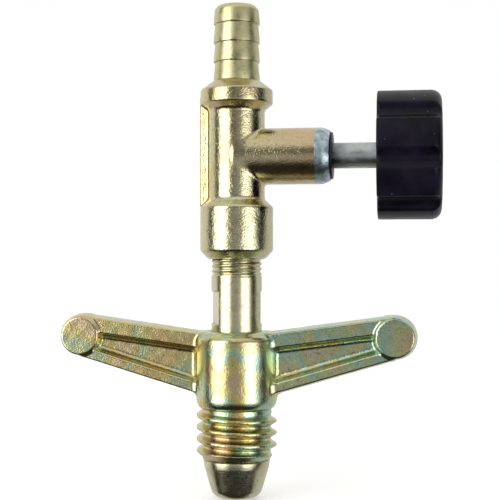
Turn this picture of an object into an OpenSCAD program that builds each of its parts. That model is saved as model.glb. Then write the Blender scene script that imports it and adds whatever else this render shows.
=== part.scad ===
// Cylinder-top needle valve for fuel gas.
// A cast tee body carries a hose barb above, a needle spindle with a knob at its side, and
// below it a nipple whose bullet nose is pressed into the cylinder valve by a loose wing nut.
// Z runs up the main axis from the tip of the nose, X runs out along the spindle to the knob.
// Millimetres.

/* [Hose barb] */
// Diameter over the teeth
barb_d = 9.1; // [7:0.1:13]
// Bore of the barb
barb_bore_d = 5; // [3:0.1:6]
// Number of teeth
barb_teeth = 4; // [2:1:6]
// Length of one tooth
tooth_pitch = 3.75; // [2.5:0.05:6]
// Radial height of one tooth
tooth_step = 0.3; // [0.1:0.05:0.5]
// Length of the spigot that is pressed into the body
barb_spigot_l = 4.6; // [3:0.1:6]
// Radial wall of the spigot
barb_spigot_wall = 1.1; // [0.8:0.1:2]

/* [Body] */
// Diameter of the upright tube
tube_d = 11.1; // [10.5:0.1:16]
// Height of the plain tube between the two collars
tube_h = 17.5; // [15:0.5:40]
// Diameter of the collar under the hose barb
top_collar_d = 14.3; // [13:0.1:20]
// Height of the collar under the hose barb
top_collar_h = 5.7; // [5:0.1:8]
// Diameter of the collar that holds the nipple
lower_collar_d = 14.4; // [13.5:0.1:20]
// Height of the collar that holds the nipple
lower_collar_h = 11.9; // [11:0.1:18]
// Thickness of the cast rib behind the tube
rib_t = 2.8; // [1.5:0.1:6]
// Height of the spindle axis above the lower collar
spindle_above_collar = 8.4; // [7:0.1:30]

/* [Spindle boss] */
// Outer diameter of the side boss
boss_d = 11.1; // [10.8:0.1:16]
// Distance from the main axis to the end of the boss
boss_reach = 18.6; // [18:0.1:30]
// Diameter of the gland bore
gland_bore_d = 8.8; // [8:0.1:9]
// Depth of the gland bore behind the rolled lip
gland_bore_l = 8.9; // [8:0.1:12]
// Axial length of the rolled lip at the mouth
lip_l = 0.7; // [0.4:0.1:1.2]
// Radial reach of the rolled lip over the gland bush
lip_in = 0.25; // [0.1:0.05:0.6]
// Length of the gland bush behind the rolled lip
gland_bush_l = 2.4; // [1.5:0.1:2.6]
// How far the gland bush stands out of the boss
gland_proud = 0.4; // [0:0.1:1]

/* [Spindle] */
// Diameter of the stem
stem_d = 5; // [4:0.1:5.6]
// Free stem between the boss and the knob with the valve shut
stem_free_l = 9.1; // [5:0.1:16]
// Thread diameter of the spindle
spindle_thread_d = 6; // [5.4:0.1:6.6]
// Thread pitch of the spindle
spindle_pitch = 1; // [0.5:0.1:1.5]
// Turns from shut to fully open
open_turns = 3; // [1:0.5:3]
// Diameter of the hole that the needle shuts
seat_hole_d = 1.6; // [1:0.1:2]
// Outer diameter of the brass seat bush
seat_bush_d = 5.2; // [4.6:0.1:5.4]
// Length of the brass seat bush
seat_bush_l = 2; // [1.5:0.1:2.4]
// Cross-section diameter of the spindle's O-ring
oring_d = 1.7; // [1.2:0.05:1.8]

/* [Knob] */
// Diameter of the knob
knob_d = 25.1; // [20:0.1:50]
// Length of the knob
knob_l = 12.2; // [10.5:0.1:25]
// Number of grip flutes
flutes = 8; // [5:1:12]
// Depth of a grip flute
flute_depth = 1.1; // [0.5:0.1:2]
// Radius that cuts a grip flute
flute_r = 2.2; // [1.5:0.1:4]
// Radius of the front edge
knob_edge_r = 2.2; // [1:0.1:3]
// Wall of the hollow back
knob_wall = 2.4; // [1.8:0.1:4]
// Diameter of the knob's inner hub
knob_hub_d = 9.6; // [8.5:0.1:14]
// Diameter of the knob's screw shank
screw_d = 3; // [2:0.1:3]

/* [Nipple] */
// Diameter of the shank and of its thread
nipple_d = 10; // [8.5:0.1:12]
// Length of the shank between the nose and the thread
shank_l = 35.75; // [30:0.25:60]
// Length of thread that shows below the collar
thread_shown_l = 3.3; // [1:0.1:6]
// Length of thread inside the collar
thread_held_l = 7.8; // [5:0.1:8.5]
// Thread pitch of the nipple
nipple_pitch = 1; // [0.75:0.25:1.5]
// Thread depth of the nipple
nipple_thread_depth = 0.65; // [0.3:0.05:0.7]
// Gas bore of the nipple
inlet_bore_d = 4; // [2:0.1:5]
// Width across the two wrench flats
across_flats = 8.5; // [8:0.1:11]
// Height of the wrench flats
flats_h = 6.3; // [4:0.1:10]
// Turn of the wrench flats about the main axis
flats_turn = 22; // [0:1:90]
// Largest diameter of the bullet nose
nose_d = 13.1; // [12:0.1:15]
// Length of the bullet nose
nose_l = 7.55; // [6:0.05:10]
// Straight band at the top of the nose
nose_band_l = 0.9; // [0.3:0.1:2]
// Half angle of the nose cone
nose_half_angle = 16; // [10:1:25]
// Radius at the tip of the nose
nose_tip_r = 2.4; // [1.2:0.1:3]

/* [Wing nut] */
// Diameter of the hub
hub_d = 16; // [15:0.1:22]
// Height of the hub
hub_h = 15.3; // [12:0.1:25]
// Outer diameter of the male thread
nut_thread_d = 15.88; // [15.2:0.01:20]
// Pitch of the male thread, which is left-hand
nut_pitch = 2.309; // [1.5:0.001:3]
// Depth of the male thread
nut_thread_depth = 1.2; // [0.8:0.05:1.25]
// Length of the threaded end below the hub
nut_thread_l = 9.7; // [7:0.1:16]
// Distance between the centres of the two end discs
wing_span = 62; // [45:0.5:90]
// Height of the disc centres above the top of the hub
disc_rise = -1; // [-3:0.1:8]
// Diameter of an end disc
disc_d = 8.6; // [6:0.1:12]
// Thickness of an end disc
disc_t = 7.4; // [6.8:0.1:12]
// Thickness of an arm over its rims
arm_t = 6.4; // [4.5:0.1:6.8]
// Height of an arm where it leaves the hub
arm_root_h = 12.9; // [10.5:0.1:14]
// Height of the rim above the arm's recess
upper_rim_w = 3.3; // [2.4:0.1:3.5]
// Height of the rim below the arm's recess
lower_rim_w = 2.4; // [2:0.1:3]
// Thickness of the web between the two recesses
web_t = 3; // [1.5:0.1:4]
// Side draft from the parting plane to the front face
draft = 1.1; // [0.3:0.05:1.4]
// Cross-section diameter of the O-ring that grips the nipple
grip_ring_d = 1.6; // [1.2:0.05:1.8]

/* [Fits] */
// Radial clearance of a pressed or screwed fit
fit_gap = 0.02; // [0.01:0.01:0.05]
// Radial clearance of a turning fit
run_gap = 0.06; // [0.03:0.01:0.1]
// Radial clearance of the wing nut on the nipple
loose_gap = 0.1; // [0.05:0.01:0.2]
// Axial clearance at a stop
stop_gap = 0.05; // [0.02:0.01:0.1]

/* [Hidden] */
$fn = 64;
eps = 0.01;
steps_per_turn = 32;
edge_break = 0.4;

// Heights on the main axis
nose_top = nose_l;
thread_foot = nose_top + shank_l;
collar_foot = thread_foot + thread_shown_l;
collar_top = collar_foot + lower_collar_h;
tube_top = collar_top + tube_h;
body_top = tube_top + top_collar_h;
nipple_top = collar_foot + thread_held_l;
spindle_z = collar_top + spindle_above_collar;
flats_foot = nose_top + shank_l - flats_h - 2.9;
barb_top = body_top + barb_teeth * tooth_pitch;

// Passages in the body
nipple_bore_r = nipple_d / 2 + fit_gap;
gasket_t = 1;
gasket_seat_z = nipple_top + gasket_t;
gasket_lap = 1;
plenum_r = nipple_d / 2 - gasket_lap;
plenum_h = 0.9;
riser_r = 1.1;
riser_x = -(plenum_r - riser_r - 0.1);
outlet_r = 1.6;
outlet_x = 2;
barb_spigot_r = barb_bore_d / 2 + barb_spigot_wall;
top_plenum_r = barb_bore_d / 2 + 0.7;
top_plenum_h = 0.5;
barb_socket_z = body_top - barb_spigot_l;

// Places along the spindle axis, measured from the main axis
seat_back_x = riser_x + riser_r + 0.3;
seat_front_x = seat_back_x + seat_bush_l;
seat_mouth_l = 0.7;
seat_edge_x = seat_front_x - seat_mouth_l;
chamber_r = seat_bush_d / 2 + fit_gap;
gland_back_x = boss_reach - lip_l - gland_bore_l;
open_travel = open_turns * spindle_pitch;
thread_back_x = gland_back_x - 5.8;
bush_back_x = boss_reach - lip_l - gland_bush_l;
piston_back_x = gland_back_x + stop_gap;
piston_front_x = bush_back_x - stop_gap - open_travel;
piston_r = gland_bore_d / 2 - loose_gap;
oring_x = (piston_back_x + piston_front_x) / 2;
oring_out_r = gland_bore_d / 2 - fit_gap;
oring_in_r = oring_out_r - oring_d;
groove_l = oring_d + 0.3;
bush_bore_r = stem_d / 2 + run_gap;
lip_bore_r = gland_bore_d / 2 - lip_in;
knob_back_x = boss_reach + stem_free_l;
knob_front_x = knob_back_x + knob_l;
screw_seat_x = knob_front_x - 3;
stem_end_x = screw_seat_x - 1.2;
needle_slope = 0.5;
needle_tip_r = 0.25;
needle_neck_r = 1.5;
needle_at_seat_r = seat_hole_d / 2 - 0.02;
stem_flat = screw_d / 2 + 0.3;

// Knob
flute_turn = 7.5;
knob_floor_x = knob_front_x - 3.6;
screw_head_r = screw_d * 0.95;
screw_head_l = 1.9;
screw_pocket_r = screw_head_r + 0.5;
screw_l = 6;

// Wing nut
nut_bore_r = nipple_d / 2 + loose_gap;
nut_foot = nose_top + stop_gap;
hub_foot = nut_foot + nut_thread_l;
hub_top = hub_foot + hub_h;
hub_edge = 1.2;
nut_neck_r = nut_thread_d / 2 - nut_thread_depth + 0.25;
nut_root_r = nut_thread_d / 2 - nut_thread_depth;
nut_thread_start = -9;
disc_x = wing_span / 2;
disc_z = hub_top + disc_rise;
disc_draft = 0.6;
recess_draft = 0.55;
parting_t = 0.8;
arm_root_x = hub_d / 2 - 2;
arm_top_z = hub_top - 0.1;
arm_foot_z = hub_top - arm_root_h;
grip_ring_z = hub_top - 3.2;
grip_ring_in_r = nipple_d / 2 + fit_gap;
grip_groove_r = grip_ring_in_r + grip_ring_d + fit_gap;

// ---------- shared shapes ----------

// Turns a shape that stands on Z so that it lies along X at the spindle's height
module on_spindle(x = 0) {
    translate([x, 0, spindle_z]) rotate([0, 90, 0]) children();
}

// A ring of rectangular section between two radii
module ring(r_out, r_in, z0, z1) {
    translate([0, 0, z0]) difference() {
        cylinder(r = r_out, h = z1 - z0);
        translate([0, 0, -1]) cylinder(r = r_in, h = z1 - z0 + 2);
    }
}

// A torus about Z
module torus(r_mid, section_d, z = 0) {
    translate([0, 0, z]) rotate_extrude() translate([r_mid, 0]) circle(d = section_d, $fn = 32);
}

// Points of an arc in a profile, from angle a0 to a1
function arc(cx, cy, r, a0, a1, n = 8) =
    [for (i = [0:n]) let (a = a0 + (a1 - a0) * i / n) [cx + r * cos(a), cy + r * sin(a)]];

// Where the line from p touches a circle of radius r about c; side is 1 or -1
function tangent_point(p, c, r, side) =
    let (v = p - c, d = norm(v), a = atan2(v[1], v[0]) + side * acos(r / d))
    c + r * [cos(a), sin(a)];

// One V-shaped ridge wound about Z from z0 to z1. hand is 1 for a right-hand thread and -1 for
// a left-hand one. The ridge fades out over the last part of a turn at each end.
module thread_ridge(r_crest, r_root, pitch, z0, z1, hand, start_angle) {
    sunk = pitch / 8;
    half_crest = pitch / 16;
    half_root = pitch * 0.49;
    turns = (z1 - z0) / pitch;
    n = ceil(turns * steps_per_turn);
    fade = 0.2;
    function height(t) = min(1, min(t, turns - t) / fade);
    sections = [for (i = [0:n])
        let (t = turns * i / n, a = start_angle + hand * 360 * t, z = z0 + pitch * t,
             r = r_root - sunk / 2 + (r_crest - r_root + sunk / 2) * height(t))
        for (p = [[r_root - sunk, -half_root], [r, -half_crest],
                  [r, half_crest], [r_root - sunk, half_root]])
            [p[0] * cos(a), p[0] * sin(a), z + p[1]]];
    corner = hand > 0 ? [0, 1, 2, 3] : [3, 2, 1, 0];
    sides = [for (i = [0:n - 1], k = [0:3])
        let (a = 4 * i + corner[k], b = 4 * i + corner[(k + 1) % 4])
        each [[a, b, b + 4], [a, b + 4, a + 4]]];
    first = [[corner[2], corner[1], corner[0]], [corner[3], corner[2], corner[0]]];
    last = [for (f = first) [for (k = [2, 1, 0]) f[k] + 4 * n]];
    polyhedron(points = sections, faces = concat(sides, first, last));
}

// ---------- body side ----------

module top_collar_shape() {
    r = top_collar_d / 2;
    rotate_extrude() polygon([
        [0, tube_top], [tube_d / 2, tube_top], [r - 0.45, tube_top + 1.1], [r - 0.15, tube_top + 1.4],
        [r, tube_top + 2.2], [r, body_top - 2.5], [r - 0.2, body_top - 1.6],
        [r - 0.45, body_top - 1.2], [barb_d / 2 + 0.3, body_top], [0, body_top]]);
}

module lower_collar_shape() {
    r = lower_collar_d / 2;
    chamfer = 1.5;
    round_r = 1.6;
    rotate_extrude() polygon(concat(
        [[0, collar_foot], [r - round_r, collar_foot]],
        arc(r - round_r, collar_foot + round_r, round_r, -90, 0),
        [[r, collar_top - chamfer], [tube_d / 2, collar_top], [0, collar_top]]));
}

module boss_shape() {
    chamfer_l = 1.7;
    chamfer_r = 0.85;
    on_spindle() {
        cylinder(d = boss_d, h = boss_reach - chamfer_l);
        translate([0, 0, boss_reach - chamfer_l])
            cylinder(r1 = boss_d / 2, r2 = boss_d / 2 - chamfer_r, h = chamfer_l);
    }
}

module body_passages() {
    // Socket of the nipple, then the plenum above its gasket
    translate([0, 0, collar_foot - 1]) cylinder(r = nipple_bore_r, h = gasket_seat_z - collar_foot + 1);
    translate([0, 0, gasket_seat_z - eps]) cylinder(r = plenum_r, h = plenum_h);
    // Riser to the back of the seat, and the short hole from it into the seat
    translate([riser_x, 0, gasket_seat_z]) cylinder(r = riser_r, h = spindle_z - gasket_seat_z + riser_r);
    on_spindle(riser_x) cylinder(d = seat_hole_d, h = seat_front_x - riser_x);
    // Needle chamber, spindle thread, gland bore and the mouth inside the rolled lip
    on_spindle(seat_back_x) cylinder(r = chamber_r, h = thread_back_x - seat_back_x + eps);
    on_spindle(thread_back_x)
        cylinder(d = spindle_thread_d + 2 * run_gap, h = gland_back_x - thread_back_x + eps);
    on_spindle(gland_back_x) cylinder(d = gland_bore_d, h = gland_bore_l);
    on_spindle(gland_back_x) cylinder(r = lip_bore_r, h = boss_reach - gland_back_x + 1);
    // Outlet up to the hose barb
    translate([outlet_x, 0, spindle_z]) cylinder(r = outlet_r, h = barb_socket_z - spindle_z);
    translate([0, 0, barb_socket_z - top_plenum_h]) cylinder(r = top_plenum_r, h = top_plenum_h + eps);
    translate([0, 0, barb_socket_z]) cylinder(r = barb_spigot_r + fit_gap, h = barb_spigot_l + 1);
}

module valve_body() {
    color([0.80, 0.70, 0.42]) difference() {
        union() {
            translate([0, 0, collar_top - 1]) cylinder(d = tube_d, h = tube_h + 2);
            lower_collar_shape();
            top_collar_shape();
            boss_shape();
            translate([-lower_collar_d / 2, -rib_t / 2, collar_top - 1.5])
                cube([lower_collar_d / 2, rib_t, tube_h + 3]);
        }
        body_passages();
    }
}

module hose_barb() {
    r = barb_d / 2;
    lead = 0.7;
    land = 0.9;
    z0 = body_top + fit_gap;
    last = barb_teeth - 1;
    function tooth(i) = let (z = z0 + i * tooth_pitch)
        [[r, z], [r, z + land], [r - tooth_step, z + tooth_pitch]];
    color([0.82, 0.75, 0.52]) difference() {
        rotate_extrude() polygon(concat(
            [[barb_bore_d / 2, barb_socket_z + fit_gap], [barb_spigot_r, barb_socket_z + fit_gap],
             [barb_spigot_r, z0]],
            [for (i = [0:last - 1]) each tooth(i)],
            [[r, z0 + last * tooth_pitch], [r, z0 + last * tooth_pitch + land]],
            arc(r - tooth_step - lead, barb_top - lead, lead, 0, 90, 6),
            [[barb_bore_d / 2, barb_top]]));
    }
}

module seat_bush() {
    color([0.78, 0.60, 0.28]) on_spindle(seat_back_x) difference() {
        cylinder(d = seat_bush_d, h = seat_bush_l);
        translate([0, 0, -1]) cylinder(d = seat_hole_d, h = seat_bush_l + 2);
        translate([0, 0, seat_bush_l - seat_mouth_l])
            cylinder(d1 = seat_hole_d, d2 = seat_hole_d + 2 * seat_mouth_l, h = seat_mouth_l + eps);
    }
}

module gland_bush() {
    r = gland_bore_d / 2 - fit_gap;
    neck_x = boss_reach - lip_l - fit_gap;
    color([0.05, 0.05, 0.05]) difference() {
        union() {
            on_spindle(bush_back_x) cylinder(r = r, h = neck_x - bush_back_x);
            on_spindle(neck_x) cylinder(r = lip_bore_r - fit_gap, h = boss_reach + gland_proud - neck_x);
        }
        on_spindle(bush_back_x - 1) cylinder(r = bush_bore_r, h = gland_bore_l + 4);
    }
}

// ---------- spindle and knob ----------

module spindle() {
    tip_x = seat_edge_x - (needle_at_seat_r - needle_tip_r) / needle_slope;
    neck_x = seat_edge_x + (needle_neck_r - needle_at_seat_r) / needle_slope;
    thread_r = spindle_thread_d / 2;
    groove_r = oring_in_r - fit_gap;
    thread_x = thread_back_x + 0.4;
    color([0.62, 0.65, 0.66]) difference() {
        on_spindle() rotate_extrude() polygon([
            [0, tip_x], [needle_tip_r, tip_x], [needle_neck_r, neck_x], [needle_neck_r, thread_x],
            [thread_r, thread_x + edge_break], [thread_r, piston_back_x],
            [piston_r, piston_back_x], [piston_r, oring_x - groove_l / 2],
            [groove_r, oring_x - groove_l / 2], [groove_r, oring_x + groove_l / 2],
            [piston_r, oring_x + groove_l / 2], [piston_r, piston_front_x],
            [stem_d / 2, piston_front_x], [stem_d / 2, stem_end_x - edge_break],
            [stem_d / 2 - edge_break, stem_end_x], [0, stem_end_x]]);
        // Tapped hole of the knob's screw
        on_spindle(stem_end_x - screw_l) cylinder(d = screw_d + 2 * fit_gap, h = screw_l + 1);
        // Drive flat inside the knob
        on_spindle(knob_back_x + 3) translate([-stem_d / 2 - 1, -stem_d, 0])
            cube([stem_d / 2 + 1 - stem_flat, 2 * stem_d, knob_l]);
    }
}

module spindle_oring() {
    color([0.04, 0.04, 0.04]) on_spindle(oring_x) torus(oring_out_r - oring_d / 2, oring_d);
}

module knob() {
    r = knob_d / 2;
    flute_angle = 360 / flutes;
    bore_r = stem_d / 2 + fit_gap;
    drive_x = knob_back_x + 3;
    color([0.07, 0.07, 0.09]) difference() {
        on_spindle() difference() {
            rotate_extrude() polygon(concat(
                [[0, knob_back_x], [r - edge_break / 2, knob_back_x], [r, knob_back_x + edge_break / 2]],
                arc(r - knob_edge_r, knob_front_x - knob_edge_r, knob_edge_r, 0, 90, 10),
                [[0, knob_front_x]]));
            for (i = [0:flutes - 1]) rotate([0, 0, flute_angle * i + flute_turn])
                translate([r + flute_r - flute_depth, 0, knob_back_x - 1])
                    cylinder(r = flute_r, h = knob_l + 2, $fn = 32);
            // Hollow back round the hub
            ring(r - knob_wall - flute_depth, knob_hub_d / 2, knob_back_x - 1, knob_floor_x);
            // Pocket and clearance hole of the screw
            translate([0, 0, screw_seat_x]) cylinder(r = screw_pocket_r, h = knob_l);
            translate([0, 0, stem_end_x - 1]) cylinder(d = screw_d + 0.4, h = knob_l);
        }
        // Bore of the hub, with a flat beyond the drive shoulder
        on_spindle(knob_back_x - 1) cylinder(r = bore_r, h = drive_x - knob_back_x + 1 + eps);
        on_spindle(drive_x) difference() {
            cylinder(r = bore_r, h = stem_end_x + fit_gap - drive_x);
            translate([-stem_d - stem_flat - fit_gap, -stem_d, -1]) cube([stem_d, 2 * stem_d, knob_l]);
        }
    }
}

module knob_screw() {
    slot_w = 0.7;
    slot_depth = 0.9;
    head_x = screw_seat_x + fit_gap;
    color([0.66, 0.68, 0.70]) difference() {
        on_spindle() rotate_extrude() polygon(concat(
            [[0, stem_end_x - screw_l + 1], [screw_d / 2 - 0.3, stem_end_x - screw_l + 1],
             [screw_d / 2, stem_end_x - screw_l + 1.3], [screw_d / 2, head_x], [screw_head_r, head_x]],
            arc(screw_head_r - 0.8, head_x + screw_head_l - 0.8, 0.8, 0, 90, 6),
            [[0, head_x + screw_head_l]]));
        for (turn = [0, 90]) on_spindle(head_x + screw_head_l - slot_depth) rotate([0, 0, turn])
            translate([-screw_head_r * 0.6, -slot_w / 2, 0]) cube([screw_head_r * 1.2, slot_w, 2]);
    }
}

// ---------- nipple ----------

module nipple() {
    r = nipple_d / 2;
    core_r = r - nipple_thread_depth;
    nose_r = nose_d / 2;
    cone_top = nose_top - nose_band_l;
    tip_round = 2.2;
    slope = tan(nose_half_angle);
    cone_foot = tip_round * (1 - sin(nose_half_angle));
    cone_foot_r = nose_r - slope * (cone_top - cone_foot);
    color([0.80, 0.74, 0.50]) difference() {
        union() {
            rotate_extrude() polygon(concat(
                [[0, 0], [nose_tip_r, 0]],
                arc(cone_foot_r - tip_round * cos(nose_half_angle), tip_round, tip_round,
                    -90, -nose_half_angle),
                [[nose_r, cone_top], [nose_r, nose_top], [r, nose_top], [r, thread_foot],
                 [core_r, thread_foot + nipple_thread_depth], [core_r, collar_foot + edge_break],
                 [r, collar_foot + edge_break], [r, nipple_top - edge_break],
                 [r - edge_break, nipple_top], [0, nipple_top]]));
            thread_ridge(r - 0.05, core_r, nipple_pitch, thread_foot + nipple_pitch * 0.7,
                         collar_foot + nipple_pitch, 1, 0);
        }
        translate([0, 0, -1]) cylinder(d = inlet_bore_d, h = nipple_top + 2);
        for (side = [0, 180]) rotate([0, 0, flats_turn + side])
            translate([across_flats / 2, -r, flats_foot]) cube([r, 2 * r, flats_h]);
    }
}

module nipple_gasket() {
    color([0.72, 0.42, 0.28]) ring(nipple_d / 2 - fit_gap, plenum_r - fit_gap,
                                   nipple_top + fit_gap, gasket_seat_z - fit_gap);
}

// ---------- wing nut ----------

// Outline of one arm in its own plane, grown outwards by extra
module arm_outline(extra) {
    c = [disc_x, disc_z];
    r = disc_d / 2 + extra;
    top = [arm_root_x, arm_top_z + extra];
    foot = [arm_root_x, arm_foot_z - extra];
    polygon([top, tangent_point(top, c, r, -1), c, tangent_point(foot, c, r, 1), foot]);
    translate(c) circle(r = r, $fn = 48);
}

// Height of the arm's upper or lower edge at a distance from the main axis
function edge_z(x, root_z, side) =
    let (root = [arm_root_x, root_z],
         p = tangent_point(root, [disc_x, disc_z], disc_d / 2, side))
    root_z + (p[1] - root_z) * (x - arm_root_x) / (p[0] - arm_root_x);

// Outline of the recess in one arm, shrunk by inset; the hub and the disc close its two ends
module recess_outline(inset) {
    x0 = hub_d / 2 - 2;
    x1 = disc_x - disc_d / 2 + 1.5;
    polygon([[x0, edge_z(x0, arm_top_z, -1) - upper_rim_w - inset],
             [x1, edge_z(x1, arm_top_z, -1) - upper_rim_w - inset],
             [x1, edge_z(x1, arm_foot_z, 1) + lower_rim_w + inset],
             [x0, edge_z(x0, arm_foot_z, 1) + lower_rim_w + inset]]);
}

// Lays an outline in the X-Z plane and thickens it evenly about Y = 0
module slab(t) {
    rotate([90, 0, 0]) translate([0, 0, -t / 2]) linear_extrude(t) children();
}

module arm() {
    hull() {
        slab(parting_t) arm_outline(0);
        slab(arm_t) arm_outline(-draft);
    }
}

module recess() {
    hull() {
        translate([0, -web_t / 2 - 0.5, 0]) slab(1) recess_outline(recess_draft);
        translate([0, -arm_t / 2 - 0.05, 0]) slab(0.1) recess_outline(0);
    }
}

module end_disc() {
    for (side = [-1, 1]) translate([disc_x, 0, disc_z]) rotate([side * 90, 0, 0]) {
        cylinder(r = disc_d / 2, h = parting_t / 2);
        translate([0, 0, parting_t / 2])
            cylinder(r1 = disc_d / 2, r2 = disc_d / 2 - disc_draft, h = (disc_t - parting_t) / 2);
    }
}

module hub_shape() {
    r = hub_d / 2;
    thread_top = hub_foot - 0.5;
    rotate_extrude() polygon([
        [0, nut_foot], [nut_root_r - edge_break, nut_foot], [nut_root_r, nut_foot + edge_break],
        [nut_root_r, thread_top],
        [nut_neck_r, hub_foot], [nut_neck_r, hub_foot + 0.1], [r - edge_break, hub_foot + 0.6],
        [r, hub_foot + hub_edge], [r, hub_top - hub_edge], [r - 1.6, hub_top], [0, hub_top]]);
}

module nut_thread() {
    chamfer = 1.5;
    intersection() {
        thread_ridge(nut_thread_d / 2, nut_root_r, nut_pitch, nut_foot + 0.6,
                     hub_foot - 0.2, -1, nut_thread_start);
        rotate_extrude() polygon([
            [0, nut_foot], [nut_thread_d / 2 - chamfer, nut_foot],
            [nut_thread_d / 2 + 0.1, nut_foot + chamfer + 0.1],
            [nut_thread_d / 2 + 0.1, hub_foot + 1], [0, hub_foot + 1]]);
    }
}

module wing_nut() {
    color([0.72, 0.70, 0.46]) difference() {
        union() {
            hub_shape();
            nut_thread();
            for (side = [0, 1]) mirror([side, 0, 0]) {
                difference() {
                    arm();
                    for (face = [0, 1]) mirror([0, face, 0]) recess();
                }
                end_disc();
            }
        }
        translate([0, 0, nut_foot - 1]) cylinder(r = nut_bore_r, h = hub_top);
        translate([0, 0, hub_top - 0.6])
            cylinder(r1 = nut_bore_r - eps, r2 = nut_bore_r + 0.6, h = 0.6 + eps);
        ring(grip_groove_r, nut_bore_r - 1,
             grip_ring_z - grip_ring_d / 2 - 0.1, grip_ring_z + grip_ring_d / 2 + 0.1);
    }
}

module nut_grip_ring() {
    color([0.04, 0.04, 0.04]) torus(grip_ring_in_r + grip_ring_d / 2, grip_ring_d, grip_ring_z);
}

valve_body();
hose_barb();
seat_bush();
gland_bush();
spindle();
spindle_oring();
knob();
knob_screw();
nipple();
nipple_gasket();
wing_nut();
nut_grip_ring();
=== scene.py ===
"""Looks of a cylinder-top needle valve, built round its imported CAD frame.

Shapes are written in millimetres as distance fields, meshed with surface nets, and scaled to metres.
Z runs up the main axis from the tip of the nose, X runs out along the spindle to the knob.
"""

import math

import bpy
import numpy as np
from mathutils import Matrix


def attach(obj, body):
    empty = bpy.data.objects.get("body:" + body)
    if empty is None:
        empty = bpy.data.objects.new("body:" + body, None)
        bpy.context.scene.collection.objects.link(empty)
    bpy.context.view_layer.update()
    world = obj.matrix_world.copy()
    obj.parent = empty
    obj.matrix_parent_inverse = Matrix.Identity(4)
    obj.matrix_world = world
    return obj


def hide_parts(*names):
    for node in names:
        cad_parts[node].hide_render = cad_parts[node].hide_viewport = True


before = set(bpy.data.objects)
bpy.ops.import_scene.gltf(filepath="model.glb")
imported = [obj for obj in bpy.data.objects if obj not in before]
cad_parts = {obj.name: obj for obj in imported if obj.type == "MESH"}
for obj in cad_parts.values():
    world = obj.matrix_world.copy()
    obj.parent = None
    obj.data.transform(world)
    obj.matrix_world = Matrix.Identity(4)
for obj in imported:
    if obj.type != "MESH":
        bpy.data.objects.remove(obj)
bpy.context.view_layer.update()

MM = 0.001

# ---------------------------------------------------------------- sizes in mm
SPINDLE_Z = 66.9
TUBE_R = 5.55
TOP_R = 7.15
LOWER_R = 7.2
COLLAR_FOOT = 46.6
COLLAR_TOP = 58.5
TUBE_TOP = 76.0
BODY_TOP = 81.7
BOSS_R = 5.55
BOSS_END = 18.6
RIB_X = -7.2
RIB_HALF = 1.15
STEM_R = 2.5
KNOB_R = 12.55
KNOB_BACK = 27.7
KNOB_FRONT = 39.9
STEM_END = 35.7
SCREW_SEAT = 36.9
SCREW_TOP = SCREW_SEAT + 1.9
NUT_FOOT = 7.6
HUB_FOOT = 17.3
HUB_TOP = 32.6
HUB_R = 8.0
DISC_X = 31.0
DISC_Z = 31.6
DISC_R = 4.3
WING_END = 35.3
ARM_ROOT_X = 6.0
ARM_TOP = 32.5
ARM_FOOT = 19.7
BARB_SEAT = 77.12
BARB_FOOT = 81.72
BARB_TOP = 96.7
BARB_R = 4.55
TEETH = 4
TOOTH_STEP = 3.75
GLAND_BACK = 15.5
GLAND_FACE = 19.0
GLAND_FLANGE_R = 4.62
NEEDLE_TIP = -0.36
SCREW_HEAD_R = 2.85
NIPPLE_R = 5.0
NIPPLE_TOP = 54.4
NOSE_R = 6.55
FLUTES = 8
FLUTE_TURN = 7.5
FLUTE_MID_R = 13.65
FINE_THREAD_DEPTH = 0.34
FLATS_TURN = 22
COARSE_PITCH = 2.309
PLATING_END = 15.7
# X in mm round which the painted shade on the stem next to the gland comes in.
GLAND_SHADE_END = 21.5


# ---------------------------------------------------------------- distance fields
def fuse(a, b, r):
    """Union with a fillet of radius r."""
    return np.maximum(r, np.minimum(a, b)) - np.hypot(np.maximum(r - a, 0), np.maximum(r - b, 0))


def common(fields, r):
    """Intersection whose edges are rounded to radius r."""
    total = 0
    largest = fields[0]
    for d in fields:
        total = total + np.maximum(d + r, 0) ** 2
        largest = np.maximum(largest, d)
    return np.minimum(-r, largest) + np.sqrt(total)


def cut(a, b, r):
    """a without b, with the new edge rounded to radius r."""
    return common([a, -b], r)


def slope(u, v, u0, v0, u1, v1):
    """Half-plane through two points; outside is to the right of the way from the first to the second."""
    du, dv = u1 - u0, v1 - v0
    return ((u - u0) * dv - (v - v0) * du) / math.hypot(du, dv)


def ripple(x, y, z, size):
    """Smooth unevenness between -1 and 1 of about the given feature size."""
    k = 2 * math.pi / size
    a = np.sin(k * (0.61 * x + 0.35 * y + 0.71 * z) + 1.3)
    b = np.sin(k * (0.52 * x - 0.78 * y + 0.33 * z) + 0.4)
    c = np.sin(k * (-0.45 * x + 0.62 * y + 0.64 * z) + 2.1)
    d = np.sin(k * (0.83 * x + 0.41 * y - 0.37 * z) + 4.0)
    return (a * b + c * d) / 2


def body_field(x, y, z):
    """Outside of the cast body: tube, two collars, side boss and back rib."""
    rho = np.hypot(x, y)
    side = np.hypot(y, z - SPINDLE_Z)
    tube = common([rho - TUBE_R, 57 - z, z - 77], 0.1)
    foot = common([COLLAR_FOOT - z, slope(rho, z, 5.5, COLLAR_FOOT, LOWER_R, 48.4)], 0.5)
    lower = common([foot, rho - LOWER_R, slope(rho, z, LOWER_R, 57.0, TUBE_R, COLLAR_TOP)], 0.25)
    upper = common([slope(rho, z, TUBE_R, TUBE_TOP, TOP_R, 77.3), rho - TOP_R,
                    slope(rho, z, TOP_R, 79.9, 4.85, BODY_TOP)], 0.18)
    boss = common([side - BOSS_R, slope(side, x, BOSS_R, 17.1, 4.85, BOSS_END), -x], 0.25)
    boss = common([boss, x - BOSS_END], 0.12)
    rib = common([RIB_X - x, x, np.abs(y) - RIB_HALF - 0.12 * (x - RIB_X), 57 - z, z - 78.5], 0.3)
    d = fuse(tube, lower, 0.35)
    d = fuse(d, rib, 0.3)
    d = fuse(d, upper, 0.35)
    return fuse(d, boss, 0.5)


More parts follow.
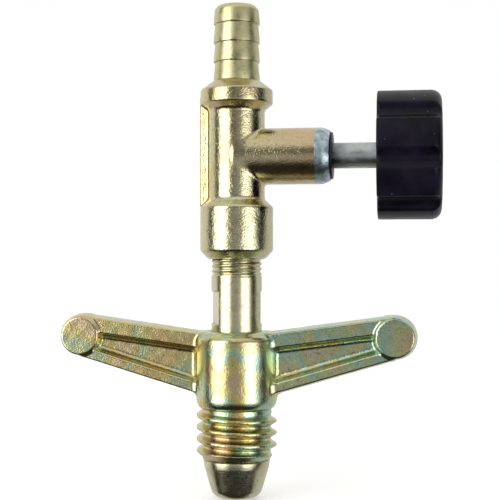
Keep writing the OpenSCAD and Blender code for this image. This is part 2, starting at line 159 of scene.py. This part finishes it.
def passages_field(x, y, z):
    """Bores and gas ways of the body, from the nipple's socket up to the barb's."""
    rho = np.hypot(x, y)
    side = np.hypot(y, z - SPINDLE_Z)
    riser = np.hypot(x + 2.8, y)
    outlet = np.hypot(x - 2.0, y)
    parts = [
        np.maximum(rho - 5.02, z - 55.4), np.maximum(rho - 4.0, np.abs(z - 55.8) - 0.5),
        np.maximum(riser - 1.1, np.abs(z - 61.7) - 6.3),
        np.maximum(side - 0.8, np.abs(x + 1.1) - 1.7),
        np.maximum(side - 2.62, np.abs(x - 0.9) - 2.3),
        np.maximum(side - 3.06, np.abs(x - 6.1) - 2.95),
        np.maximum(side - 4.4, np.abs(x - 13.45) - 4.45),
        np.maximum(side - 4.15, np.abs(x - 17) - 3),
        np.maximum(outlet - 1.6, np.abs(z - 72) - 5.1),
        np.maximum(rho - 3.2, np.abs(z - 76.85) - 0.26),
        np.maximum(rho - 3.62, 77.1 - z),
    ]
    d = parts[0]
    for p in parts[1:]:
        d = np.minimum(d, p)
    return d


def valve_body(x, y, z):
    """The cast body with its passages cut."""
    return cut(body_field(x, y, z), passages_field(x, y, z), 0.12)


def hose_barb(x, y, z):
    """Four teeth above a plain shank that sits in the body."""
    rho = np.hypot(x, y)
    d = common([rho - 3.6, BARB_SEAT - z, z - 82.5], 0.2)
    for i in range(TEETH):
        z0 = BARB_FOOT + TOOTH_STEP * i
        tooth = [rho - BARB_R, z0 - z, slope(rho, z, BARB_R, z0 + 0.9, 4.25, z0 + TOOTH_STEP)]
        if i == TEETH - 1:
            tooth = [rho - BARB_R, z0 - z, slope(rho, z, BARB_R, z0 + 0.9, 4.3, 96.1),
                     slope(rho, z, 4.32, 95.9, 3.6, BARB_TOP), z - BARB_TOP]
            d = np.minimum(d, common(tooth, 0.12))
        else:
            d = np.minimum(d, common(tooth + [z - z0 - 3.85], 0.07))
    return cut(d, rho - 2.5, 0.25)


def gland_bush(x, y, z):
    """Bush in the mouth of the boss, with the flange that shows round the stem."""
    side = np.hypot(y, z - SPINDLE_Z)
    inner = common([side - 4.38, GLAND_BACK - x, x - 17.88], 0.1)
    neck = common([side - 4.13, 17 - x, x - GLAND_FACE], 0.1)
    flange = common([side - GLAND_FLANGE_R, BOSS_END + 0.02 - x, x - GLAND_FACE], 0.18)
    d = np.minimum(np.minimum(inner, neck), flange)
    return cut(d, side - 2.56, 0.12)


def spindle(x, y, z):
    """Needle, threaded part, piston with its O-ring groove, and stem."""
    side = np.hypot(y, z - SPINDLE_Z)
    stem = common([side - STEM_R, 12.45 - x, x - STEM_END], 0.3)
    piston = common([side - 4.3, 9.05 - x, x - 12.45], 0.1)
    groove = common([2.66 - side, 9.75 - x, x - 11.75], 0.05)
    screw = common([side - 3.0, 3.6 - x, x - 9.4], 0.3)
    needle = common([side - 1.5, x - 4.5, slope(side, x, 0.25, -1.2, 1.5, 2.4), NEEDLE_TIP - x], 0.05)
    needle = np.maximum(needle, side - 0.25 - (x - NEEDLE_TIP) * 0.5)
    d = np.minimum(np.minimum(stem, cut(piston, groove, 0.1)), np.minimum(screw, needle))
    return cut(d, common([side - 1.52, STEM_END - 6 - x], 0.1), 0.05)


def knob(x, y, z):
    """Fluted knob, hollow at the back, with a pocket for its screw."""
    up, out = z - SPINDLE_Z, y
    side = np.hypot(out, up)
    d = common([side - KNOB_R, KNOB_BACK - x], 0.25)
    d = common([d, x - KNOB_FRONT], 2.1)
    for i in range(FLUTES):
        a = math.radians(360 * i / FLUTES + FLUTE_TURN)
        flute = np.hypot(up + FLUTE_MID_R * math.cos(a), out - FLUTE_MID_R * math.sin(a)) - 2.2
        d = cut(d, flute, 0.45)
    hollow = common([side - 9.0, 4.85 - side, x - 36.2, 27 - x], 0.6)
    d = cut(d, hollow, 0.2)
    bore = np.minimum(np.maximum(side - 2.52, x - STEM_END - 0.02), side - 1.7)
    bore = np.minimum(bore, common([side - 3.35, SCREW_SEAT - x], 0.1))
    return cut(d, bore, 0.15)


def nipple(x, y, z):
    """Tube with the fine thread, the spanner flats and the bullet nose."""
    rho = np.hypot(x, y)
    turn = np.arctan2(y, x) / (2 * math.pi)
    shank = common([rho - NIPPLE_R, 6 - z, z - NIPPLE_TOP], 0.2)
    groove_depth = FINE_THREAD_DEPTH * np.clip((z - 43.25) / 0.5, 0, 1) * np.clip((54.0 - z) / 0.4, 0, 1)
    wave = np.abs((z - 43.8 - turn) - np.round(z - 43.8 - turn)) * 2
    thread = rho - 4.97 + groove_depth * np.clip(wave * 1.25 - 0.12, 0, 1)
    shank = np.maximum(shank, thread * 0.75)
    nose = common([rho - NOSE_R, z - 7.55, slope(rho, z, 4.65, 0.15, NOSE_R, 6.65)], 0.2)
    nose = common([nose, -z], 1.6)
    d = np.minimum(shank, nose)
    face = math.radians(FLATS_TURN)
    flat = np.abs(x * math.cos(face) + y * math.sin(face)) - 4.25
    flats = common([-flat, 34.1 - z, z - 40.4], 0.15)
    d = cut(d, flats, 0.12)
    return cut(d, rho - 2.0, 0.25)


def tangent(px, pz, r, side):
    """Where the line from a point touches the end disc's outline."""
    vx, vz = px - DISC_X, pz - DISC_Z
    a = math.atan2(vz, vx) + side * math.acos(r / math.hypot(vx, vz))
    return DISC_X + r * math.cos(a), DISC_Z + r * math.sin(a)


def wing_nut_field(x, y, z):
    """Hub, arms with their recesses, and end discs."""
    rho = np.hypot(x, y)
    ax, ay = np.abs(x), np.abs(y)
    top_x, top_z = tangent(ARM_ROOT_X, ARM_TOP, DISC_R, -1)
    foot_x, foot_z = tangent(ARM_ROOT_X, ARM_FOOT, DISC_R, 1)
    above = slope(ax, z, top_x, top_z, ARM_ROOT_X, ARM_TOP)
    below = slope(ax, z, ARM_ROOT_X, ARM_FOOT, foot_x, foot_z)
    draft = 0.15 * (ay - 0.4)
    arm = common([(above + draft) * 0.98, (below + draft) * 0.98, ay - 3.2, ax - DISC_X], 0.35)
    wall = 0.42 * (3.2 - ay)
    recess = common([(above + 3.2 + wall) * 0.92, (below + 2.3 + wall) * 0.92, 1.5 - ay], 0.7)
    arm = cut(arm, recess, 0.3)
    reach = np.hypot(ax - DISC_X, z - DISC_Z)
    disc = common([(reach - DISC_R + draft) * 0.985, ay - 3.7], 0.4)
    hub = common([rho - HUB_R, slope(rho, z, HUB_R, 31.3, 6.4, HUB_TOP),
                  slope(rho, z, 7.4, 17.75, HUB_R, 18.6)], 0.5)
    hub = common([hub, z - HUB_TOP, HUB_FOOT + 0.15 - z], 0.4)
    d = fuse(hub, arm, 0.9)
    return fuse(d, disc, 0.55)


def nut_thread_field(x, y, z):
    """Coarse left-hand thread below the hub; it fades out at both ends."""
    rho = np.hypot(x, y)
    turn = (np.degrees(np.arctan2(y, x)) + 9) / 360
    phase = (z - 8.2) / COARSE_PITCH + turn
    offset = np.abs(phase - np.round(phase)) * COARSE_PITCH
    at = np.round(phase) - turn
    fade = np.clip(np.minimum(at, 3.85 - at) / 0.2 + 0.4, 0, 1)
    rise = np.clip((1.02 - offset) / 0.82, 0, 1)
    rise = rise * rise * (3 - 2 * rise) * 0.4 + rise * 0.6
    ridge = (rho - 6.74 - 1.19 * rise * fade) * 0.72
    ends = [slope(rho, z, 6.44, NUT_FOOT, 7.94, 9.1), NUT_FOOT - z, z - HUB_FOOT - 0.4]
    core = common([rho - 6.76, NUT_FOOT - z, z - HUB_FOOT - 0.6], 0.25)
    neck = common([rho - 6.9, 16.3 - z, z - 18], 0.2)
    d = np.minimum(common([ridge] + ends, 0.1), core)
    return np.minimum(d, neck)


def wing_nut(x, y, z):
    """The whole nut, bored for the nipple and grooved for the grip ring."""
    rho = np.hypot(x, y)
    d = np.minimum(wing_nut_field(x, y, z), nut_thread_field(x, y, z))
    d = cut(d, rho - 5.1, 0.4)
    return cut(d, common([rho - 6.6, np.abs(z - 29.4) - 0.9], 0.1), 0.05)


def knob_screw(x, y, z):
    """Pan-head screw with a cross recess."""
    side = np.hypot(y, z - SPINDLE_Z)
    d = np.minimum(common([side - 1.5, STEM_END - 5 - x, x - SCREW_TOP + 1], 0.1),
                   common([common([side - SCREW_HEAD_R, x - SCREW_TOP], 0.8), SCREW_SEAT + 0.02 - x], 0.1))
    slot_a = common([np.abs(y) - 0.35, np.abs(z - SPINDLE_Z) - 1.7, SCREW_TOP - 0.9 - x], 0.05)
    slot_b = common([np.abs(y) - 1.7, np.abs(z - SPINDLE_Z) - 0.35, SCREW_TOP - 0.9 - x], 0.05)
    return cut(d, np.minimum(slot_a, slot_b), 0.08)


# ---------------------------------------------------------------- meshing
def surface_net(values):
    """Vertices in grid units and quads of the zero surface of a grid of values."""
    shape = np.array(values.shape)
    cells, points, outward = [], [], []
    for axis in range(3):
        u, w = (axis + 1) % 3, (axis + 2) % 3
        low = [slice(None)] * 3
        high = [slice(None)] * 3
        low[axis], high[axis] = slice(0, -1), slice(1, None)
        a, b = values[tuple(low)], values[tuple(high)]
        index = np.array(np.nonzero((a < 0) != (b < 0)))
        fits = (index[u] > 0) & (index[w] > 0) & (index[u] < shape[u] - 1) & (index[w] < shape[w] - 1)
        index = index[:, fits]
        at = tuple(index)
        point = index.astype(float)
        point[axis] += a[at] / (a[at] - b[at])
        corners = []
        for du, dw in ((0, 0), (-1, 0), (-1, -1), (0, -1)):
            cell = index.copy()
            cell[u] += du
            cell[w] += dw
            corners.append(np.ravel_multi_index(tuple(cell), values.shape))
        cells.append(np.array(corners).T)
        points.append(point.T)
        outward.append(a[at] < 0)
    cells, points, outward = np.concatenate(cells), np.concatenate(points), np.concatenate(outward)
    _, vertex = np.unique(cells.ravel(), return_inverse=True)
    count = np.bincount(vertex)
    spread = np.repeat(points, 4, axis=0)
    verts = np.stack([np.bincount(vertex, spread[:, k]) / count for k in range(3)], axis=1)
    quads = vertex.reshape(-1, 4)
    quads[~outward] = quads[~outward][:, ::-1]
    return verts, quads


def gradient(field, p, h=0.02):
    """Unit outward direction of a field at points."""
    g = np.stack([field(*(p + h * e).T) - field(*(p - h * e).T) for e in np.eye(3)], axis=1)
    return g / np.maximum(np.linalg.norm(g, axis=1, keepdims=True), 1e-9)


def piece(name, field, low, high, step, body, node, material, uneven=0.0, uneven_size=4.0):
    def shape(x, y, z):
        d = field(x, y, z)
        if uneven:
            d = d + uneven * (1 + ripple(x, y, z, uneven_size))
        return d

    axes = [np.arange(lo - step, hi + 1.5 * step, step) for lo, hi in zip(low, high)]
    grid = np.meshgrid(*axes, indexing="ij", sparse=True)
    values = np.broadcast_to(shape(*grid), [len(a) for a in axes])
    verts, quads = surface_net(values)
    verts = verts * step + np.array([a[0] for a in axes])
    for _ in range(4):
        d = np.clip(shape(*verts.T), -0.5 * step, 0.5 * step)
        verts = verts - gradient(shape, verts) * d[:, None]
    verts = np.clip(verts, low, high)
    normals = gradient(shape, verts)
    mesh = bpy.data.meshes.new(name)
    mesh.vertices.add(len(verts))
    mesh.vertices.foreach_set("co", (verts * MM).ravel())
    mesh.loops.add(quads.size)
    mesh.loops.foreach_set("vertex_index", quads.ravel().astype(np.int32))
    mesh.polygons.add(len(quads))
    mesh.polygons.foreach_set("loop_start", np.arange(0, quads.size, 4, dtype=np.int32))
    mesh.update(calc_edges=True)
    mesh.polygons.foreach_set("use_smooth", np.ones(len(quads), bool))
    mesh.normals_split_custom_set_from_vertices(normals.tolist())
    mesh.materials.append(material)
    obj = bpy.data.objects.new(name, mesh)
    bpy.context.scene.collection.objects.link(obj)
    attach(obj, body)
    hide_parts(node)


# ---------------------------------------------------------------- materials
class Graph:
    """Short hand for building node trees."""

    def __init__(self, tree):
        self.tree = tree
        tree.nodes.clear()

    def add(self, kind, inputs=None, **settings):
        node = self.tree.nodes.new("ShaderNode" + kind)
        for key, value in settings.items():
            setattr(node, key, value)
        for key, value in (inputs or {}).items():
            socket = node.inputs[key]
            if isinstance(value, bpy.types.NodeSocket):
                self.tree.links.new(value, socket)
            else:
                socket.default_value = value
        return node

    def place(self, stretch=(1, 1, 1)):
        where = self.add("TexCoord").outputs["Object"]
        return self.add("Mapping", {"Vector": where, "Scale": stretch}).outputs["Vector"]

    def noise(self, where, size_mm, detail=3.0, rough=0.55, distort=0.0):
        return self.add("TexNoise", {"Vector": where, "Scale": 1 / (size_mm * MM), "Detail": detail,
                                     "Roughness": rough, "Distortion": distort}).outputs["Fac"]

    def ramp(self, factor, stops):
        node = self.add("ValToRGB", {"Fac": factor})
        ramp = node.color_ramp
        ramp.interpolation = "LINEAR"
        while len(ramp.elements) < len(stops):
            ramp.elements.new(1.0)
        for element, (at, _) in zip(ramp.elements, stops):
            element.position = at
        for element, (_, colour) in zip(ramp.elements, stops):
            element.color = (*colour, 1)
        return node.outputs["Color"]

    def mix(self, factor, a, b, kind="MIX"):
        node = self.add("Mix", data_type="RGBA", blend_type=kind)
        for socket, value in ((node.inputs[0], factor), (node.inputs[6], a), (node.inputs[7], b)):
            if isinstance(value, bpy.types.NodeSocket):
                self.tree.links.new(value, socket)
            elif isinstance(value, tuple):
                socket.default_value = (*value, 1)
            else:
                socket.default_value = value
        return node.outputs[2]

    def remap(self, value, a0, a1, b0, b1):
        return self.add("MapRange", {"Value": value, "From Min": a0, "From Max": a1,
                                     "To Min": b0, "To Max": b1}).outputs["Result"]

    def math(self, kind, a, b=0.0):
        node = self.add("Math", operation=kind)
        for socket, value in zip(node.inputs, (a, b)):
            if isinstance(value, bpy.types.NodeSocket):
                self.tree.links.new(value, socket)
            else:
                socket.default_value = value
        return node.outputs[0]

    def bump(self, height, depth_mm, strength=1.0, after=None):
        inputs = {"Height": height, "Distance": depth_mm * MM, "Strength": strength}
        if after is not None:
            inputs["Normal"] = after
        return self.add("Bump", inputs).outputs["Normal"]


def tint(r, g, b):
    """A colour as it shows on a screen, turned into the linear value that shaders take."""
    return tuple(c / 12.92 if c < 0.04045 else ((c + 0.055) / 1.055) ** 2.4 for c in (r, g, b))


def material(name):
    """A new node material and its graph."""
    m = bpy.data.materials.new(name)
    m.use_nodes = True
    return m, Graph(m.node_tree)


def surface(g, **inputs):
    """Closes a material with one Principled shader."""
    shader = g.add("BsdfPrincipled", {k.replace("_", " "): v for k, v in inputs.items()})
    g.add("OutputMaterial", {"Surface": shader.outputs["BSDF"]})


def plated(name, tints, grain_mm, grain_depth, rough, pits=0.5, side_tints_and_light=(), bare_beyond=None):
    """Gold zinc-chromate plating over a grainy casting.

    tints run over slow patches. Each side tint takes over along X towards one side: start and full in mm,
    its share, and the tint; some of them are painted light for how that side catches the light. bare_beyond is
    an X in mm from which grey zinc shows.
    """
    m, g = material(name)
    where = g.place()
    along = g.add("SeparateXYZ", {"Vector": where}).outputs["X"]
    patches = g.noise(where, 9.0, 1.0, 0.5, 0.2)
    stops = [(0.36 + 0.28 * i / (len(tints) - 1), tint(*t)) for i, t in enumerate(tints)]
    colour = g.ramp(patches, stops)
    drift = g.math("ADD", along, g.math("MULTIPLY", g.math("SUBTRACT", patches, 0.5), 0.012))
    # Side tints along X, partly painted light on a side that catches the light.
    for start, full, share, side in side_tints_and_light:
        colour = g.mix(g.remap(drift, start * MM, full * MM, 0.0, share), colour, tint(*side))
    fine = g.noise(where, 0.55, 3.0, 0.6)
    colour = g.mix(g.remap(fine, 0.4, 0.7, 0.0, 0.5), colour, tint(0.90, 0.85, 0.76), "MULTIPLY")
    specks = g.noise(where, 0.9, 2.0, 0.7)
    colour = g.mix(g.remap(specks, 0.64, 0.72, 0.0, 0.6), colour, tint(0.52, 0.42, 0.24))
    gloss = g.remap(g.noise(where, 2.4, 3.0, 0.6), 0.3, 0.7, rough * 0.7, rough * 1.4)
    if bare_beyond is not None:
        bare = g.remap(along, (bare_beyond - 0.12) * MM, (bare_beyond + 0.12) * MM, 0.0, 1.0)
        zinc = [(0.35, tint(0.55, 0.61, 0.65)), (0.65, tint(0.80, 0.86, 0.90))]
        grey = g.ramp(g.noise(where, 1.3, 3.0, 0.6), zinc)
        colour = g.mix(bare, colour, grey)
        gloss = g.math("ADD", gloss, g.math("MULTIPLY", bare, 0.2))
    grain = g.noise(where, grain_mm, 2.0, 0.55)
    dips = g.noise(where, 1.4, 2.0, 0.5)
    normal = g.bump(dips, grain_depth * 1.5, pits)
    normal = g.bump(grain, grain_depth, 1.0, normal)
    surface(g, Base_Color=colour, Metallic=1.0, Roughness=gloss, Normal=normal)
    return m


def turned(name, tints, rough, lines_mm, depth, stretch, shaded_below=None):
    """Lathe-turned metal: fine tool lines round the axis under a satin plating.

    The last argument is an X in mm below which the metal is darkened with painted shade, towards the gland where
    the stem goes in.
    """
    m, g = material(name)
    where = g.place()
    patches = g.noise(where, 5.0, 3.0, 0.6, 0.4)
    stops = [(0.34 + 0.32 * i / (len(tints) - 1), tint(*t)) for i, t in enumerate(tints)]
    colour = g.ramp(patches, stops)
    stain = g.noise(where, 1.4, 3.0, 0.65)
    colour = g.mix(g.remap(stain, 0.6, 0.72, 0.0, 0.5), colour, tint(0.55, 0.47, 0.33))
    # Painted shade: the metal darkens towards the gland, where the stem goes into the boss.
    if shaded_below is not None:
        along = g.add("SeparateXYZ", {"Vector": where}).outputs["X"]
        along = g.math("ADD", along, g.math("MULTIPLY", stain, 0.003))
        painted_shade = g.remap(along, (shaded_below + 2.4) * MM, (shaded_below - 1.2) * MM, 0.0, 0.8)
        colour = g.mix(painted_shade, colour, tint(0.25, 0.27, 0.28))
    lines = g.noise(g.place(stretch), lines_mm, 2.0, 0.7)
    fine = g.noise(where, 0.36, 2.0, 0.6)
    normal = g.bump(lines, depth * 0.6, 0.7)
    normal = g.bump(fine, depth * 0.8, 0.6, normal)
    gloss = g.remap(g.noise(where, 1.8, 3.0, 0.6), 0.3, 0.7, rough * 0.7, rough * 1.4)
    surface(g, Base_Color=colour, Metallic=1.0, Roughness=gloss, Normal=normal)
    return m


def plastic(name):
    """Moulded black plastic with a scuffed top and small pale specks."""
    m, g = material(name)
    where = g.place()
    patches = g.noise(where, 7.0, 3.0, 0.6)
    colour = g.ramp(patches, [(0.35, tint(0.03, 0.03, 0.06)), (0.65, tint(0.11, 0.09, 0.16))])
    dust = g.noise(where, 0.55, 1.0, 0.4)
    colour = g.mix(g.remap(dust, 0.79, 0.81, 0.0, 0.75), colour, (0.55, 0.53, 0.55))
    grain = g.noise(where, 0.30, 2.0, 0.6)
    scuffs = g.noise(g.place((1, 1, 6)), 2.5, 4.0, 0.7)
    normal = g.bump(grain, 0.018, 0.8)
    normal = g.bump(scuffs, 0.02, 0.5, normal)
    gloss = g.remap(g.noise(where, 3.0, 3.0, 0.6), 0.3, 0.7, 0.24, 0.38)
    surface(g, Base_Color=colour, Roughness=gloss, Normal=normal, Specular_IOR_Level=0.15)
    return m


def rubber(name, dark, light, rough):
    """Dull dark rubber or plastic between two linear colours."""
    m, g = material(name)
    where = g.place()
    colour = g.ramp(g.noise(where, 1.6, 3.0, 0.6), [(0.35, dark), (0.68, light)])
    normal = g.bump(g.noise(where, 0.25, 2.0, 0.6), 0.012, 0.8)
    gloss = g.remap(g.noise(where, 1.0, 2.0, 0.6), 0.3, 0.7, rough * 0.8, rough * 1.2)
    surface(g, Base_Color=colour, Roughness=gloss, Normal=normal)
    return m


ROUND_Z = (0.06, 0.06, 1)
ROUND_X = (1, 0.06, 0.06)

# The ochre tint from X -2 mm leftwards is painted light on the lit left side of tube and rib; the browner tint
# from X 6.5 mm outwards covers the right-hand side.
cast_metal = plated("cast_plated", [(0.80, 0.75, 0.60), (0.82, 0.80, 0.66), (0.80, 0.80, 0.67)],
                    grain_mm=0.32, grain_depth=0.052, rough=0.12, bare_beyond=PLATING_END,
                    side_tints_and_light=((-2, -5.5, 0.5, (0.83, 0.76, 0.54)), (6.5, 9.0, 0.5, (0.80, 0.69, 0.54))))
# Gold on the left and teal on the right are painted sheen: fixed side tints that stand in for the plating colour
# shifting with the angle of view.
nut_metal = plated("nut_plated", [(0.83, 0.76, 0.64), (0.84, 0.78, 0.51), (0.69, 0.80, 0.72),
                                  (0.80, 0.82, 0.60), (0.85, 0.76, 0.56)],
                   grain_mm=0.32, grain_depth=0.044, rough=0.17, pits=0.2,
                   side_tints_and_light=((0, -6, 0.3, (0.83, 0.76, 0.52)), (1, 6, 0.25, (0.68, 0.80, 0.74))))
turned_metal = turned("turned_plated", [(0.78, 0.75, 0.60), (0.82, 0.80, 0.66), (0.80, 0.80, 0.68)],
                      rough=0.20, lines_mm=0.40, depth=0.045, stretch=ROUND_Z)
barb_metal = turned("barb_plated", [(0.80, 0.76, 0.57), (0.82, 0.80, 0.62), (0.80, 0.79, 0.62)],
                    rough=0.32, lines_mm=0.40, depth=0.045, stretch=ROUND_Z)
# The stem is darkened with painted shade where it meets the gland.
steel = turned("zinc_steel", [(0.66, 0.70, 0.70), (0.76, 0.79, 0.79), (0.70, 0.74, 0.74)],
               rough=0.36, lines_mm=0.40, depth=0.012, stretch=ROUND_X, shaded_below=GLAND_SHADE_END)
brass = turned("bare_brass", [(0.80, 0.68, 0.42), (0.88, 0.76, 0.50)],
               rough=0.24, lines_mm=0.35, depth=0.010, stretch=ROUND_X)
copper = turned("seal_copper", [(0.80, 0.58, 0.45), (0.86, 0.66, 0.52)],
                rough=0.28, lines_mm=0.35, depth=0.010, stretch=ROUND_Z)
knob_plastic = plastic("knob_plastic")
gland_plastic = rubber("gland_plastic", (0.006, 0.006, 0.007), (0.020, 0.020, 0.022), 0.42)
seal_rubber = rubber("seal_rubber", (0.008, 0.008, 0.009), (0.028, 0.027, 0.027), 0.55)

# ---------------------------------------------------------------- pieces
piece("Valve_body", valve_body, (RIB_X, -TOP_R - 0.1, COLLAR_FOOT), (BOSS_END, TOP_R + 0.1, BODY_TOP), 0.25,
      "valve", "valve_body", cast_metal, 0.012, 3.2)
piece("Hose_barb", hose_barb, (-BARB_R, -BARB_R, BARB_SEAT), (BARB_R, BARB_R, BARB_TOP), 0.18,
      "valve", "hose_barb", barb_metal)
piece("Gland_bush", gland_bush, (GLAND_BACK, -GLAND_FLANGE_R, SPINDLE_Z - GLAND_FLANGE_R),
      (GLAND_FACE, GLAND_FLANGE_R, SPINDLE_Z + GLAND_FLANGE_R), 0.12,
      "valve", "gland_bush", gland_plastic)
piece("Spindle", spindle, (NEEDLE_TIP, -4.35, 62.5), (STEM_END, 4.35, 71.3), 0.2,
      "spindle_and_knob", "spindle", steel)
piece("Knob", knob, (KNOB_BACK, -KNOB_R, SPINDLE_Z - KNOB_R), (KNOB_FRONT, KNOB_R, SPINDLE_Z + KNOB_R), 0.25,
      "spindle_and_knob", "knob", knob_plastic)
piece("Knob_screw", knob_screw, (STEM_END - 5, -SCREW_HEAD_R, 64.05), (SCREW_TOP, SCREW_HEAD_R, 69.75), 0.16,
      "spindle_and_knob", "knob_screw", steel)
piece("Nipple", nipple, (-NOSE_R, -NOSE_R, 0), (NOSE_R, NOSE_R, NIPPLE_TOP), 0.2,
      "valve", "nipple", turned_metal)
piece("Wing_nut", wing_nut, (-WING_END, -HUB_R, NUT_FOOT), (WING_END, HUB_R, HUB_TOP + 3.3), 0.23,
      "wing_nut", "wing_nut", nut_metal, 0.02, 4.0)

finishes = {"seat_bush": brass, "nipple_gasket": copper, "spindle_oring": seal_rubber,
            "nut_grip_ring": seal_rubber}
for name, finish in finishes.items():
    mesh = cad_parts[name].data
    mesh.materials.clear()
    mesh.materials.append(finish)

# ---------------------------------------------------------------- studio
PEAK = 3.0

scene = bpy.context.scene
scene.view_settings.view_transform = "Standard"


def studio_world():
    """A room with two soft boxes in front and dark gaps beside them; cameras see it plain white.

    Levels are pairs of azimuth in degrees and strength. Azimuth 0 is in front of the valve, -90 on its left.
    """
    world = bpy.data.worlds.new("studio")
    world.use_nodes = True
    scene.world = world
    g = Graph(world.node_tree)
    way = g.add("SeparateXYZ", {"Vector": g.add("TexCoord").outputs["Generated"]}).outputs
    around = g.math("ARCTAN2", way["X"], g.math("MULTIPLY", way["Y"], -1))
    around = g.math("ADD", g.math("DIVIDE", around, 2 * math.pi), 0.5)
    height = g.math("ADD", g.math("DIVIDE", g.math("ARCSINE", way["Z"]), math.pi), 0.5)

    def by_azimuth(levels):
        return g.ramp(around, [(a / 360 + 0.5, (v / PEAK,) * 3) for a, v in levels])

    def by_height(low, high):
        stops = [(0.5 + low / 180, (0, 0, 0)), (0.5 + high / 180, (1, 1, 1))]
        return g.ramp(height, stops)

    left = [(-180, 0.8), (-165, 0.9), (-95, 0.9), (-86, 0.05), (-73, 0.04), (-58, PEAK)]
    right = [(76, 0.3), (88, 0.05), (97, 0.03), (106, 0.35), (117, 0.68), (165, 0.7), (180, 0.8)]
    right_box = [(37, PEAK), (58, PEAK)]
    level = by_azimuth(left + [(-25, PEAK), (-17, 0.26), (-2, 0.24), (14, 0.34), (26, 0.5)] + right_box + right)
    above = by_azimuth(left + [(-25, PEAK), (-17, 0.20), (-2, 0.16), (14, 0.28), (28, 0.34), (42, 0.45),
                               (58, 0.50)] + right)
    below = by_azimuth(left + [(-32, PEAK), (-23, 0.60), (-2, 0.44), (14, 0.52), (26, 0.65)] + right_box + right)
    raised = by_azimuth([(-180, 0.85), (-86, 0.7), (-78, 0.45), (-52, 0.4), (-42, 1.0), (-30, 0.85), (4, 0.85),
                         (14, 1.0), (40, 0.95), (50, 0.7), (90, 0.8), (180, 0.85)])
    lowered = by_azimuth([(-180, 0.6), (-108, 0.6), (-92, 0.03), (84, 0.03), (100, 0.6), (180, 0.6)])
    lit = g.mix(by_height(-3, 1), below, level)
    lit = g.mix(by_height(3, 8), lit, above)
    lit = g.mix(by_height(26, 40), lit, raised)
    lit = g.mix(by_height(-36, -10), lowered, lit)
    lit = g.mix(by_height(40, 55), lit, tuple(v / PEAK for v in (0.88, 0.86, 0.82)))
    lit = g.mix(by_height(-70, -55), tuple(v / PEAK for v in (0.05, 0.035, 0.02)), lit)
    lit = g.mix(1.0, lit, (PEAK,) * 3, "MULTIPLY")
    path = g.add("LightPath").outputs
    plain = g.math("MAXIMUM", path["Is Camera Ray"], path["Is Transmission Ray"])
    seen = g.mix(plain, lit, (1.0, 1.0, 1.0))
    g.add("OutputWorld", {"Surface": g.add("Background", {"Color": seen}).outputs["Background"]})


def studio_floor():
    """A pale disc that shows white, with the object's shadow left on it."""
    n = 96
    r = 0.6
    angles = [2 * math.pi * i / n for i in range(n)]
    verts = [(0, 0, 0)] + [(r * math.cos(a), r * math.sin(a), 0) for a in angles]
    faces = [(0, i + 1, (i + 1) % n + 1) for i in range(n)]
    mesh = bpy.data.meshes.new("floor")
    mesh.from_pydata(verts, [], faces)
    obj = bpy.data.objects.new("floor", mesh)
    obj.location.z = -0.0002
    scene.collection.objects.link(obj)
    m, g = material("floor_pale")
    path = g.add("LightPath").outputs
    matt = g.add("BsdfDiffuse", {"Color": (0.8, 0.8, 0.8, 1)})
    strength = g.math("MULTIPLY", path["Is Camera Ray"], 0.45)
    glow = g.add("Emission", {"Color": (1, 1, 1, 1), "Strength": strength})
    both = g.add("AddShader", {0: matt.outputs[0], 1: glow.outputs[0]})
    g.add("OutputMaterial", {"Surface": both.outputs[0]})
    mesh.materials.append(m)
    obj.visible_glossy = False


studio_world()
studio_floor()

camera_data = bpy.data.cameras.new("camera")
camera_data.sensor_width = 36
camera_data.lens = 81.62
camera_data.clip_start = 0.01
camera = bpy.data.objects.new("camera", camera_data)
camera.location = (0.0341, -0.221, 0.0462)
camera.rotation_euler = (math.radians(90.6), 0, math.radians(8.1))
scene.collection.objects.link(camera)
scene.camera = camera
